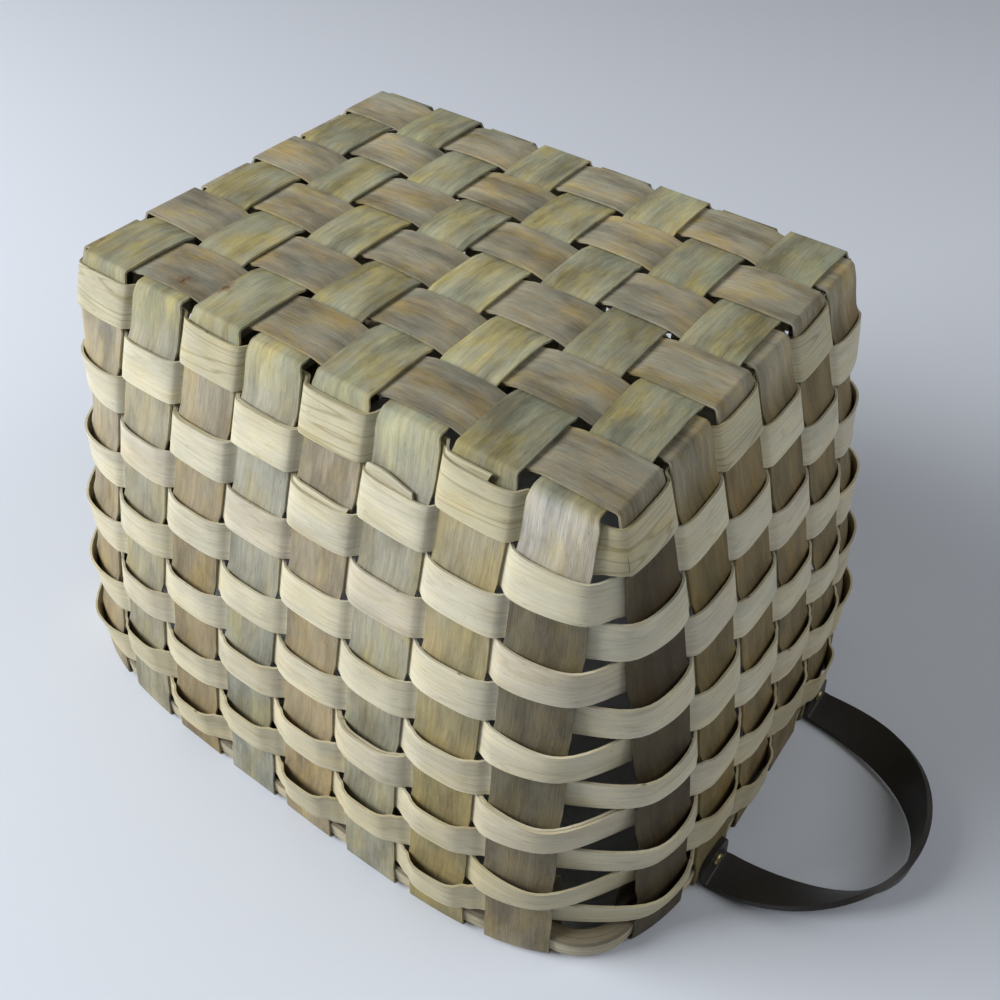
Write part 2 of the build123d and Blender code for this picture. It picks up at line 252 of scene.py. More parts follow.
# %% The line of a stake at the mouth, and its sheet
TURN_STEPS = 5
TAIL_STEPS = 14
TAIL_INNER = 8.5
TAIL_OFFSET = 4.6
TAIL_HEIGHT = 46.0
CROSS_NARROWING = 2.2
LONG_NARROWING = 1.1
NARROWING_FADE = 5
PUFF_SHARE = 0.6
PUFF_SKEW = 9
ACROSS_STAKE = 8


def mouth_end(middle, edge, front, outside):
    """The rest of that line: round under the hoop and up inside to the tip."""
    points = []
    for k in range(1, TURN_STEPS + 1):
        angle = pi / 2 * k / TURN_STEPS
        points.append((outside - TURN_RADIUS * (1 - cos(angle)),
                       TURN_LEVEL - TURN_RADIUS * sin(angle)))
    turn_depth = BASE_LEVEL - TURN_LEVEL
    centre = fanned(middle, turn_depth)
    ends = [reach(centre + side * STAKE_WIDTH / 2, turn_depth, front) for side in (-1, 1)]
    slant = hypot(STAKE_WIDTH, ends[1] - ends[0]) / STAKE_WIDTH
    inside = reach(centre + edge, turn_depth, front) - TAIL_INNER * slant
    for k in range(TURN_STEPS + 1):
        angle = pi / 2 * (1 - k / TURN_STEPS)
        points.append((inside + TURN_RADIUS * (1 - cos(angle)),
                       TURN_LEVEL - TURN_RADIUS * sin(angle)))
    for k in range(1, TAIL_STEPS + 1):
        height = TURN_LEVEL + (TAIL_HEIGHT - TURN_LEVEL) * k / TAIL_STEPS
        depth = BASE_LEVEL - height
        share = min((TAIL_HEIGHT - height) / (TAIL_HEIGHT - HOOP_TOP), 1.0)
        inset = (TAIL_OFFSET + (TAIL_INNER - TAIL_OFFSET) * share) * slant
        points.append((reach(fanned(middle, depth) + edge, depth, front) - inset, height))
    return points


def stake_line(middle, edge, front, crossed, number):
    """One edge line of a whole stake, from tip to tip."""
    first_sign = 1 if (number + front) % 2 == 0 else -1
    last_sign = first_sign * (-1) ** (crossed - 1)
    halves = []
    for sign, parity in ((first_sign, 0 if front else 1), (last_sign, 1 if front else 0)):
        half = wall_half(middle, edge, front, crossed, sign, number, parity)
        halves.append(half + mouth_end(middle, edge, front, half[-1][0]))
    near, far = halves
    span = (crossed - 1) / 2 * PITCH
    steps = int(2 * span / WAVE_STEP)
    base = []
    for k in range(steps + 1):
        across = -span + 2 * span * k / steps
        base.append((across, BASE_LEVEL + crossing_level(across, crossed, first_sign)))
    return [(-across, height) for across, height in reversed(near)] + base + far


def stake_rows(number, count, crossed, front):
    """All points of a stake's sheet, row after row across it."""
    middle = (number - (count + 1) / 2) * PITCH
    seed = number + (100 if front else 200)
    sway = wander(seed, (170, 90), (0.35, 0.25))
    spread = wander(seed + 10, (120, 45), (0.3, 0.12))
    heave = wander(seed + 20, (75, 33, 17), (0.12, 0.06, 0.03))
    curl = wander(seed + 30, (110, 60), (0.12, 0.1))
    narrowing = CROSS_NARROWING if front else LONG_NARROWING
    shares = [j / ACROSS_STAKE - 0.5 for j in range(ACROSS_STAKE + 1)]
    lines = [stake_line(middle, v * STAKE_WIDTH, front, crossed, number) for v in shares]
    centre_line = lines[ACROSS_STAKE // 2]
    last = len(centre_line) - 1
    rows = []
    travel = 0.0
    for i in range(last + 1):
        if i:
            a, b = centre_line[i - 1], centre_line[i]
            travel += hypot(a[0] - b[0], a[1] - b[1])
        row = []
        for v, line in zip(shares, lines):
            across, height = line[i]
            depth = max(BASE_LEVEL - height, 0)
            width = STAKE_WIDTH + spread(travel) - narrowing * (1 - smooth(depth / NARROWING_FADE))
            lateral = fanned(middle, depth) + v * width + sway(travel)
            before, after = line[max(i - 1, 0)], line[min(i + 1, last)]
            step = hypot(after[0] - before[0], after[1] - before[1]) or 1
            out = ((before[1] - after[1]) / step, (after[0] - before[0]) / step)
            puff = heave(travel + PUFF_SKEW * v) + curl(travel) * (1 - 4 * v * v)
            across += out[0] * puff * PUFF_SHARE
            height += out[1] * puff * PUFF_SHARE
            row.append(Vector((lateral, across, height) if front else (across, lateral, height)))
        rows.append(row)
    return rows


# %% Model the fourteen stakes
stakes = []
for kind, count, crossed in (("cross", CROSS_COUNT, LONG_COUNT), ("long", LONG_COUNT, CROSS_COUNT)):
    for number in range(1, count + 1):
        node = f"{kind}_stake_{number}"
        rows = stake_rows(number, count, crossed, kind == "cross")
        stakes.append(strip_sheet(node + "_splint", rows, STAKE_THICKNESS, "basket", [node]))
print("stakes", len(stakes), "vertices", sum(len(stake.data.vertices) for stake in stakes))

# %% [markdown]
# The weavers go round the walls, outside one stake and inside the next. To follow them, the places
# where a stake meets a wall are listed as a ring, anticlockwise from the front left corner, and
# each place gives the facet that its stake makes at any height.

# %% The ring of stakes
Place = namedtuple("Place", "number count side front")
FRONT = [Place(number, CROSS_COUNT, -1, True) for number in range(1, CROSS_COUNT + 1)]
RIGHT = [Place(number, LONG_COUNT, 1, False) for number in range(1, LONG_COUNT + 1)]
BACK = [Place(number, CROSS_COUNT, 1, True) for number in range(CROSS_COUNT, 0, -1)]
LEFT = [Place(number, LONG_COUNT, -1, False) for number in range(LONG_COUNT, 0, -1)]
RING = FRONT + RIGHT + BACK + LEFT
CORNER_SPOTS = (CROSS_COUNT - 1, CROSS_COUNT + LONG_COUNT - 1,
                2 * CROSS_COUNT + LONG_COUNT - 1, RING_COUNT - 1)


def facet(level, place):
    """A stake's start, end, outward direction and bow at a level, going anticlockwise."""
    depth = BASE_LEVEL - level
    middle = fanned((place.number - (place.count + 1) / 2) * PITCH, depth)

    def wall_spot(lateral):
        far = reach(lateral, depth, place.front) * place.side
        return Vector((lateral, far, 0)) if place.front else Vector((far, lateral, 0))

    ends = [wall_spot(middle + side * STAKE_WIDTH / 2) for side in (-1, 1)]
    if (place.front and place.side > 0) or (not place.front and place.side < 0):
        ends.reverse()
    along = (ends[1] - ends[0]).normalized()
    outward = Vector((along.y, -along.x, 0))
    bow = (wall_spot(middle) - (ends[0] + ends[1]) / 2).dot(outward)
    return ends[0], ends[1], outward, bow


def is_outside(row, spot):
    """Whether a row's weaver passes outside the stake at this spot of the ring."""
    place = RING[spot % RING_COUNT]
    near = (place.side < 0) == place.front
    return (row + place.number) % 2 == (0 if near else 1)


def before_corner(spot):
    """Whether the stake at this spot of the ring is the last one before a corner."""
    return spot % RING_COUNT in CORNER_SPOTS


print("places round the ring", len(RING))

# %% [markdown]
# Thin wood springs out between the places that hold it, so each outside pass bulges, and its upper
# edge stands off the stake. At the corners, where the stakes fan out, the strip has more room: it
# narrows to the eye, leans out and leaves dark openings between the rows. A row ends over its own
# beginning, or under it, and the two ends lie on each other for a few stakes. An end that lies
# under stands a little higher, so its edge shows above the strip that covers it.

# %% How a weaver springs out
WEAVER_THICKNESS = 0.9
WEAVER_WIDTH = 15.7
ACROSS_WEAVER = 6
PASS_STEPS = 10
GAP_STEPS = 4
EDGE_OUT = 0.95
EDGE_IN = 1.7
DIP_IN = 0.25
LAP_STEP = 1.1
CORNER_LEAN = 2.6
CORNER_PINCH = 1.7
CORNER_DEPTH = 2.2
CORNER_BULGE = 2.2
CORNER_GAP = 1.3
CORNER_FADE = 0.8

# Where a row starts in the ring, how many stakes it laps, how much of the last pass it covers, how
# far its hidden end stands up, and whether that end lies under the beginning.
Lap = namedtuple("Lap", "start stakes cover proud under")
LAPS = {
    1: Lap(3, 4, 0.75, 1.8, True),
    2: Lap(2, 4, 0.75, 3.2, True),
    3: Lap(1, 4, 0.9, 1.6, True),
    4: Lap(15, 3, 1.0, 0.0, False),
    5: Lap(25, 3, 1.0, 0.0, False),
    6: Lap(19, 3, 1.0, 0.0, False),
    7: Lap(13, 3, 1.0, 0.0, False),
    8: Lap(4, 5, 1.0, 1.3, True),
    9: Lap(21, 3, 1.0, 0.0, False),
    10: Lap(16, 3, 1.0, 0.0, False),
    11: Lap(24, 3, 1.0, 0.0, False),
}


def corner_growth(row):
    """How loose the weave is at a corner: not at the base, and more with each row."""
    return smooth((row - 1.5) / 5)


def corner_weight(row, spot, share, gap):
    """How strongly a place feels the corner's looser weave, from 0 to 1."""
    growth = corner_growth(row)
    if gap:
        return growth if before_corner(spot - 1) else 0.0
    if before_corner(spot):
        return growth * smooth(share)
    if before_corner(spot - 1):
        return growth * (1 - CORNER_FADE * smooth(share))
    return 0.0


def sprung(row, k, share, v, springs):
    """How far out of the wall's middle surface a weaver lies at a place in pass k."""
    bulges, slants = springs
    lap = LAPS[row]
    spot = lap.start + k
    before, after = before_corner(spot), before_corner(spot - 1)
    growth = corner_growth(row) if before or after else 0.0
    early, late = k < lap.stakes, k >= RING_COUNT
    if is_outside(row, spot):
        lifted = LAP_STEP if (early if lap.under else late) else 0.0
        arch = 1 - abs(2 * share - 1) ** 4
        slant = slants[k % RING_COUNT] * (v + 0.5) ** 2 * (0.4 + 0.6 * arch)
        return EDGE_OUT + lifted + bulges[k % RING_COUNT] * arch * (1 - growth) + slant
    sunk = LAP_STEP if (late if lap.under else early) else 0.0
    side = smooth(share) if before else 1 - smooth(share)
    dip = DIP_IN * (1 - abs(2 * share - 1) ** 3)
    return -EDGE_IN - sunk - dip - CORNER_DEPTH * growth * side


def corner_swell(row, k, share, gap):
    """The wide bulge of a pass beside a corner: it reaches across the corner's gap."""
    sides = ((k, share - 1), (k - 1, 1 + share)) if gap else ((k, share),)
    swell = 0.0
    for number, along in sides:
        spot = LAPS[row].start + number
        if not is_outside(row, spot):
            continue
        if along < 0:
            along *= CORNER_GAP
        if along > 1:
            along = 1 + (along - 1) * CORNER_GAP
        if before_corner(spot):
            swell += max(sin(pi * max(along, 0) / (1 + CORNER_GAP)), 0)
        elif before_corner(spot - 1):
            swell += max(sin(pi * (along + CORNER_GAP) / (1 + CORNER_GAP)), 0)
    return CORNER_BULGE * corner_growth(row) * swell


print("rows whose end lies under their beginning", [row for row in LAPS if LAPS[row].under])

# %% [markdown]
# A weaver's points come from stations along its way: some on each pass over a stake's facet and a
# few in the gap to the next. Where it swings across a corner, its rows of points are averaged with
# their neighbours a few times, because real wood takes no kinks.

# %% The sheet of a weaver
EASING_TURNS = 5
EASING = 0.6
BULGE_RANGE = (0.2, 0.7)
BULGE_LOWER = 1.9
SLANT_RANGE = (0.5, 1.3)
SLANT_LOWER = 1.2
RAGGED_RANGE = (-0.16, 0.1)
LAST_ROW_RISE = 0.8
LAP_TAPER = 0.85


def weaver_stations(row):
    """Where a weaver has points, as (pass, share of it, whether it is the gap before the pass)."""
    lap = LAPS[row]
    last = RING_COUNT + lap.stakes - 1
    stations = []
    for k in range(last + 1):
        if k:
            stations += [(k, step / GAP_STEPS, True) for step in range(1, GAP_STEPS)]
        end = lap.cover if k == last else 1.0
        stations += [(k, end * step / PASS_STEPS, False) for step in range(PASS_STEPS + 1)]
    return stations


def weaver_point(row, level, v, station, springs):
    """One point of a weaver at a level, v being its place across the strip."""
    k, share, gap = station
    spot = LAPS[row].start + k
    begin, end, outward, bow = facet(level, RING[spot % RING_COUNT])
    lean = CORNER_LEAN * corner_weight(row, spot, share, gap) * v
    free = lean + corner_swell(row, k, share, gap)
    if gap:
        _, old_end, old_out, _ = facet(level, RING[(spot - 1) % RING_COUNT])
        old_offset, offset = sprung(row, k - 1, 1, v, springs), sprung(row, k, 0, v, springs)
        out = (old_out * (1 - share) + outward * share).normalized()
        way = old_end * (1 - share) + begin * share
        return way + out * (old_offset + (offset - old_offset) * smooth(share) + free)
    curve = bow * 4 * share * (1 - share)
    offset = sprung(row, k, share, v, springs) + curve + free
    return begin + (end - begin) * share + outward * offset


def near_corner(row, station):
    """How much a weaver is eased at a station: fully across a corner's gap, and less beyond it."""
    k, share, gap = station
    spot = LAPS[row].start + k
    if gap:
        return corner_growth(row) if before_corner(spot - 1) else 0.0
    nearness = share if before_corner(spot) else 1 - share if before_corner(spot - 1) else 0.0
    return corner_growth(row) * smooth(2 * nearness - 0.6)


def eased(rows, weights):
    """Take the kinks out of a strip where its weights are high."""
    for _ in range(EASING_TURNS):
        before = [[point.copy() for point in line] for line in rows]
        for i in range(1, len(rows) - 1):
            for j, point in enumerate(rows[i]):
                average = (before[i - 1][j] + before[i + 1][j]) / 2
                rows[i][j] = point.lerp(average, EASING * weights[i])
    return rows


def lap_rise(row, k, share):
    """How far a hidden end stands up above the row's beginning, so that its edge shows."""
    lap = LAPS[row]
    if k < RING_COUNT or not lap.under:
        return 0.0
    shown = k + share - (RING_COUNT + lap.stakes - 1)
    taper = 1.0 if row == 1 else 1 - LAP_TAPER * smooth(shown / lap.cover - 0.25)
    return lap.proud * smooth((shown + 0.6) / 0.9) * taper


def weaver_rows(row):
    """All points of a weaver's sheet, row after row across it."""
    dice = Random(400 + row)
    lap = LAPS[row]
    lower = (row / ROW_COUNT) ** 2
    bulges = [dice.uniform(*BULGE_RANGE) + BULGE_LOWER * lower for _ in range(RING_COUNT)]
    slants = [dice.uniform(*SLANT_RANGE) + SLANT_LOWER * lower for _ in range(RING_COUNT)]
    ragged = [dice.uniform(*RAGGED_RANGE) for _ in range(ACROSS_WEAVER + 1)]
    sway = wander(500 + row, (230, 110), (0.35, 0.2))
    spread = wander(520 + row, (150, 60), (0.4, 0.15))
    top = BASE_LEVEL - FIRST_ROW_DROP - (row - 1) * ROW_STEP
    middle = ACROSS_WEAVER // 2
    stations = weaver_stations(row)
    rows = []
    travel = 0.0
    for k, share, gap in stations:
        pinch = CORNER_PINCH * corner_weight(row, lap.start + k, share, gap)
        width = WEAVER_WIDTH - pinch + spread(travel)
        raised = sway(travel) + (LAST_ROW_RISE if row == ROW_COUNT else 0.0)
        raised += lap_rise(row, k, share)
        torn = lap.under and k == RING_COUNT + lap.stakes - 1 and not gap
        across = []
        for j in range(ACROSS_WEAVER + 1):
            v = 0.5 - j / ACROSS_WEAVER
            station = (k, share * (1 + ragged[j]) if torn else share, gap)
            level = top - ROW_HEIGHT * (0.5 - v) + raised
            spot = weaver_point(row, level, v, station, (bulges, slants))
            across.append(Vector((spot.x, spot.y, top - ROW_HEIGHT / 2 + v * width + raised)))
        if rows:
            travel += (across[middle] - rows[-1][middle]).length
        rows.append(across)
    return eased(rows, [near_corner(row, station) for station in stations])


# %% Model the eleven weavers
weavers = []
for row in range(1, ROW_COUNT + 1):
    node = f"weaver_row_{row:02d}"
    weavers.append(strip_sheet(node + "_splint", weaver_rows(row), WEAVER_THICKNESS, "basket",
                               [node]))
print("weavers", len(weavers), "vertices", sum(len(weaver.data.vertices) for weaver in weavers))

# %% [markdown]
# The hoop is a thick riven stick, bent round the mouth, its two tapered ends laid on each other. A
# curve with a bevel could be bent like it, but its section would stay the same all the way. So it
# is a grid too, rolled up into a stick, and its points are pushed in and out by a noise that is
# stretched along the wood. At the corners it swells out between the stakes.

# %% The line and section of the hoop
HOOP_BOTTOM = 1.2
HOOP_OUTER = 0.75
HOOP_THICKNESS = 7.0
HOOP_SWELL = 5.0
HOOP_LOWER_CUT = 2.0
HOOP_UPPER_CUT = 1.0
HOOP_LINE_LEVEL = HOOP_TOP - 6
POST_SHARES = (0, 0.33, 0.67, 1)
CURVE_STEPS = 8


def hoop_line(level):
    """A smooth closed line round the inside of the stakes: a spline through points on each."""
    posts = []
    for place in RING:
        begin, end, outward, _ = facet(level, place)
        posts += [begin + (end - begin) * share - outward * HOOP_OUTER for share in POST_SHARES]
    count = len(posts)
    points = []
    for k in range(count):
        a, b, c, d = (posts[(k + step) % count] for step in (-1, 0, 1, 2))
        spot, post = divmod(k, len(POST_SHARES))
        across_corner = post == len(POST_SHARES) - 1 and before_corner(spot)
        swell = HOOP_SWELL if across_corner else 0.0
        outward = Vector(((c - b).y, -(c - b).x, 0)).normalized()
        for step in range(CURVE_STEPS):
            t = step / CURVE_STEPS
            curve = 0.5 * (2 * b + (c - a) * t + (2 * a - 5 * b + 4 * c - d) * t * t
                           + (3 * b - a - 3 * c + d) * t ** 3)
            points.append(curve + outward * swell * sin(pi * t))
    return points


def hoop_section():
    """The hoop's cross-section as (share of the thickness, height), with its edges cut off."""
    foot, shoulder = HOOP_BOTTOM + HOOP_LOWER_CUT, HOOP_TOP - HOOP_UPPER_CUT
    corners = [(0.0, foot), (0.0, shoulder), (0.14, HOOP_TOP), (0.86, HOOP_TOP), (1.0, shoulder),
               (1.0, foot), (0.72, HOOP_BOTTOM), (0.28, HOOP_BOTTOM)]
    points = []
    for k, (a, h) in enumerate(corners):
        b, g = corners[(k + 1) % len(corners)]
        pieces = 4 if abs(h - g) > 5 or abs(a - b) > 0.5 else 2
        for step in range(pieces):
            points.append((a + (b - a) * step / pieces, h + (g - h) * step / pieces))
    return points


# %% The hoop
SCARF_HALF = 24.0
SCARF_TIP = 0.02
RIVEN_SCALE = (0.035, 2.7, 0.42)
RIVEN_SWELL = 0.45
FINER = 3.1
FINE_SWELL = 0.25
TORN_SCALE = (0.3, 5)
TORN_SWELL = 1.1
ROUGH_ASIDE = 0.3
ROUGH_UP = 0.5
HOOP_UV = (0.0021, 0.0017)
CRISP_ANGLE = radians(45)


def riven(along, share, height):
    """How rough the hoop is at a place: swellings along it, and a torn upper edge."""
    place = Vector((along * RIVEN_SCALE[0], share * RIVEN_SCALE[1], height * RIVEN_SCALE[2]))
    rough = noise.noise(place) * RIVEN_SWELL + noise.noise(place * FINER) * FINE_SWELL
    if height >= HOOP_TOP - 0.01:
        torn = Vector((along * TORN_SCALE[0], share * TORN_SCALE[1], 3.0))
        rough += noise.noise(torn) * TORN_SWELL
    return rough


def hoop_rows():
    """Rows of points round the hoop's section, from one tapered end round to the other."""
    ring = hoop_line(HOOP_LINE_LEVEL)
    count = len(ring)
    at_back = [k for k in range(count) if ring[k].y > 0]
    first = min(at_back, key=lambda k: abs(ring[k].x))
    step_length = sum((ring[(k + 1) % count] - ring[k]).length for k in range(count)) / count
    overlap = int(SCARF_HALF / step_length)
    section = hoop_section()
    rows = []
    for i in range(-overlap, count + overlap + 1):
        spot = ring[(first + i) % count]
        ahead = (ring[(first + i + 1) % count] - ring[(first + i - 1) % count]).normalized()
        outward = Vector((ahead.y, -ahead.x, 0))
        near, far = 0.0, 1.0
        if i < overlap:
            near = min(1 - SCARF_TIP, (overlap - i) / (2 * overlap) + SCARF_TIP)
        if i > count - overlap:
            far = max(SCARF_TIP, 1 - (i - count + overlap) / (2 * overlap) - SCARF_TIP)
        row = []
        for share, height in section + section[:1]:
            inset = HOOP_THICKNESS * (near + (far - near) * share)
            rough = riven(i * step_length, share, height)
            aside = 0.0 if share < 0.05 else ROUGH_ASIDE * rough
            level = height + ROUGH_UP * rough
            row.append(spot - outward * (inset + aside) + Vector((0, 0, level)))
        rows.append(row)
    return rows


hoop = placed_grid("rim_hoop_stick", hoop_rows(), lambda i, j: (i * HOOP_UV[0], j * HOOP_UV[1]))
bpy.ops.object.mode_set(mode="EDIT")
bpy.ops.mesh.select_all(action="SELECT")
bpy.ops.mesh.remove_doubles(threshold=0.000001)
bpy.ops.mesh.select_all(action="DESELECT")
bpy.ops.mesh.select_non_manifold()
bpy.ops.mesh.edge_face_add()
bpy.ops.mesh.select_all(action="SELECT")
bpy.ops.mesh.normals_make_consistent(inside=False)
bpy.ops.object.mode_set(mode="OBJECT")
bpy.ops.object.shade_smooth_by_angle(angle=CRISP_ANGLE)
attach(hoop, "basket")
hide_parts("rim_hoop")
print("hoop", len(hoop.data.vertices), "vertices")

# %% [markdown]
# Each handle is one leather strap. It comes down the wall from its rounded tip, bends out at the
# foot and lies on the table in a loop that turns on edge in its bend. It is drawn like a splint,
# from rows of points, only thicker, and a bevel takes the sharpness off its cut edges. The back end
# is the front end mirrored. The strap is one piece that bends at its foot.

# %% The line of a strap
STRAP_WIDTH = 18.0
STRAP_THICKNESS = 2.3
STRAP_MIDDLE = 1.95
STRAP_TOP = 14.5
STRAP_REACH = 63.6
HINGE_REACH = 163.69
RIVET_HEIGHT = 8.6
HANDLE_STAKE = 2
TIP_RADIUS = 5.0
TIP_BLUNTNESS = 0.3
BEND_RADIUS = 1.9
LOOP_LIFT = 0.05
END_STEPS = 12
BEND_STEPS = 5
LOOP_STEPS = 64
ACROSS_STRAP = 8


def strap_end_line(post):
    """The strap from its tip down the wall and round the bend at its foot."""
    stations = []
    for k in range(END_STEPS + 1):
        level = STRAP_TOP - (STRAP_TOP - BEND_RADIUS - STRAP_THICKNESS / 2) * k / END_STEPS
        begin, end, outward, _ = facet(level, post)
        spot = (begin + end) / 2 + outward * STRAP_MIDDLE
        left = STRAP_TOP - level
        half = STRAP_WIDTH / 2
        if left < TIP_RADIUS:
            rise = max(TIP_RADIUS ** 2 - (TIP_RADIUS - left) ** 2, TIP_BLUNTNESS)
            half += -TIP_RADIUS + rise ** 0.5
        stations.append((Vector((spot.x, spot.y, level)), -(end - begin).normalized(), 2 * half))
    foot = stations[-1][0]
    for k in range(1, BEND_STEPS + 1):
        angle = pi / 2 * k / BEND_STEPS
        spot = foot + Vector((BEND_RADIUS * (1 - cos(angle)), 0, -BEND_RADIUS * sin(angle)))
        stations.append((spot, Vector((0, -1, 0)), STRAP_WIDTH))
    return stations


def strap_line():
    """The right strap's middle line, as (place, direction across it, width)."""
    post = Place(HANDLE_STAKE, LONG_COUNT, 1, False)
    front_end = strap_end_line(post)
    begin, end, _, _ = facet(RIVET_HEIGHT, post)
    half_spread = abs((begin + end).y) / 2
    loop = []
    for k in range(1, LOOP_STEPS):
        angle = pi * k / LOOP_STEPS
        tilt = pi / 2 * sin(angle) ** 1.5
        out = Vector((sin(angle) / STRAP_REACH, -cos(angle) / half_spread, 0)).normalized()
        wide = out * cos(tilt) + Vector((0, 0, sin(tilt)))
        level = (STRAP_WIDTH * sin(tilt) + STRAP_THICKNESS * cos(tilt)) / 2 + LOOP_LIFT
        spot = Vector((HINGE_REACH + STRAP_REACH * sin(angle), -half_spread * cos(angle), level))
        loop.append((spot, wide, STRAP_WIDTH))
    back_end = [(Vector((spot.x, -spot.y, spot.z)), Vector((-wide.x, -wide.y, wide.z)), width)
                for spot, wide, width in reversed(front_end)]
    return front_end + loop + back_end


def strap_rows(side_sign):
    """Points across the strap, all the way from one tip to the other."""
    rows = []
    for spot, wide, width in strap_line():
        row = []
        for j in range(ACROSS_STRAP + 1):
            point = spot + wide * (width * (j / ACROSS_STRAP - 0.5))
            level = max(point.z, STRAP_THICKNESS / 2)
            row.append(Vector((point.x * side_sign, point.y, level)))
        rows.append(row)
    return rows


# %% The two straps
EDGE_WEAR = 0.4
EDGE_ANGLE = radians(40)

straps = []
for side_name, side_sign in (("right", 1), ("left", -1)):
    nodes = [f"strap_loop_{side_name}", f"strap_end_{side_name}_front",
             f"strap_end_{side_name}_back"]
    strap = strip_sheet(f"strap_{side_name}", strap_rows(side_sign), STRAP_THICKNESS, None, nodes)
    edges = strap.modifiers.new("worn_edges", "BEVEL")
    edges.width = EDGE_WEAR * MM
    edges.segments = 2
    edges.limit_method = "ANGLE"
    edges.angle_limit = EDGE_ANGLE
    bpy.ops.object.select_all(action="DESELECT")
    strap.select_set(True)
    bpy.context.view_layer.objects.active = strap
    bpy.ops.object.modifier_apply(modifier=edges.name)
    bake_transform(strap)
    straps.append(strap)
print("straps", [len(strap.data.vertices) for strap in straps])

# %% [markdown]
# Split wood shows its grain as long fine lines, and every strip has its own shade. A photograph of
# wood would repeat and would need a file, so the grain is made of noises stretched along the
# strip's UV map. Each one becomes a light or dark film through a colour ramp, and the films are
# multiplied over the strip's own colour: broad patches and hues first, then streaks, growth lines,
# fibres and pores. The hues are stronger in the base, which has weathered most.

# %% Tools for a finish


def new_finish(name, roughness):
    """A new material with its roughness set, and its shader."""
    finish = bpy.data.materials.new(name)
    finish.use_nodes = True
    shader = finish.node_tree.nodes["Principled BSDF"]
    shader.inputs["Roughness"].default_value = roughness
    return finish, shader


def grain_noise(tree, uv, scale, shift, detail, roughness):
    """A noise stretched along the strip: its scale is in cells per metre, along and across."""
    nodes, links = tree.nodes, tree.links
    mapping = nodes.new("ShaderNodeMapping")
    mapping.inputs["Scale"].default_value = scale
    mapping.inputs["Location"].default_value = shift
    cells = nodes.new("ShaderNodeTexNoise")
    cells.inputs["Scale"].default_value = 1.0
    cells.inputs["Detail"].default_value = detail
    cells.inputs["Roughness"].default_value = roughness
    links.new(uv, mapping.inputs["Vector"])
    links.new(mapping.outputs["Vector"], cells.inputs["Vector"])
    return cells.outputs["Fac"]


def ramp(tree, factor, stops):
    """A colour ramp with its stops as (place, colour)."""
    node = tree.nodes.new("ShaderNodeValToRGB")
    while len(node.color_ramp.elements) < len(stops):
        node.color_ramp.elements.new(0.5)
    for element, (place, colour) in zip(node.color_ramp.elements, stops):
        element.position = place
        element.color = (*colour, 1)
    tree.links.new(factor, node.inputs["Fac"])
    return node.outputs["Color"]


def filmed(tree, amount, under, film):
    """A colour with a film multiplied over it by an amount."""
    node = tree.nodes.new("ShaderNodeMix")
    node.data_type = "RGBA"
    node.blend_type = "MULTIPLY"
    if isinstance(amount, float):
        node.inputs["Factor"].default_value = amount
    else:
        tree.links.new(amount, node.inputs["Factor"])
    tree.links.new(under, node.inputs["A"])
    tree.links.new(film, node.inputs["B"])
    return node.outputs["Result"]


def grey(share):
    """A plain grey."""
    return (share, share, share)


def scaled(colour, share):
    """A colour made lighter or darker."""
    return tuple(share * channel for channel in colour)


def growth_lines(tree, factor):
    """Thin lines where a noise passes certain levels, like the growth rings on split wood."""
    stops = [(0.0, grey(1))]
    for level in (0.40, 0.47, 0.54, 0.61):
        stops += [(level - 0.011, grey(1)), (level, (0.60, 0.54, 0.38)), (level + 0.011, grey(1))]
    return ramp(tree, factor, stops)


def add_bump(tree, shader, height, strength, depth):
    """Let a noise raise and lower the surface to the eye; depth is in metres."""
    bump = tree.nodes.new("ShaderNodeBump")
    bump.inputs["Strength"].default_value = strength
    bump.inputs["Distance"].default_value = depth
    tree.links.new(height, bump.inputs["Height"])
    tree.links.new(bump.outputs["Normal"], shader.inputs["Normal"])


# %% Finish of split wood
WALL_MOTTLE = 0.8
WALL_HUES = 0.45
PORES = 0.8
FIBRE_DEPTH = 0.0003
TINT_STOPS = [(0.50, grey(0)), (0.68, grey(0.75))]
PATCH_STOPS = [(0.36, (0.58, 0.57, 0.55)), (0.48, grey(0.92)), (0.64, (1.30, 1.29, 1.26))]
HUE_STOPS = [(0.36, (0.87, 0.97, 1.05)), (0.5, grey(1)), (0.62, (1.13, 1.02, 0.68))]
STREAK_STOPS = [(0.32, (0.84, 0.82, 0.77)), (0.64, grey(1.06))]
FIBRE_STOPS = [(0.30, (0.80, 0.79, 0.77)), (0.66, (1.10, 1.10, 1.09))]
PORE_STOPS = [(0.27, (0.42, 0.38, 0.32)), (0.33, grey(1))]


def height_share(tree, here):
    """How high a place is, from 0 at the mouth to 1 at the base."""
    apart = tree.nodes.new("ShaderNodeSeparateXYZ")
    tree.links.new(here, apart.inputs["Vector"])
    up = tree.nodes.new("ShaderNodeMath")
    up.operation = "MULTIPLY"
    up.inputs[1].default_value = 1 / (BASE_LEVEL * MM)
    tree.links.new(apart.outputs["Z"], up.inputs[0])
    return up.outputs["Value"]


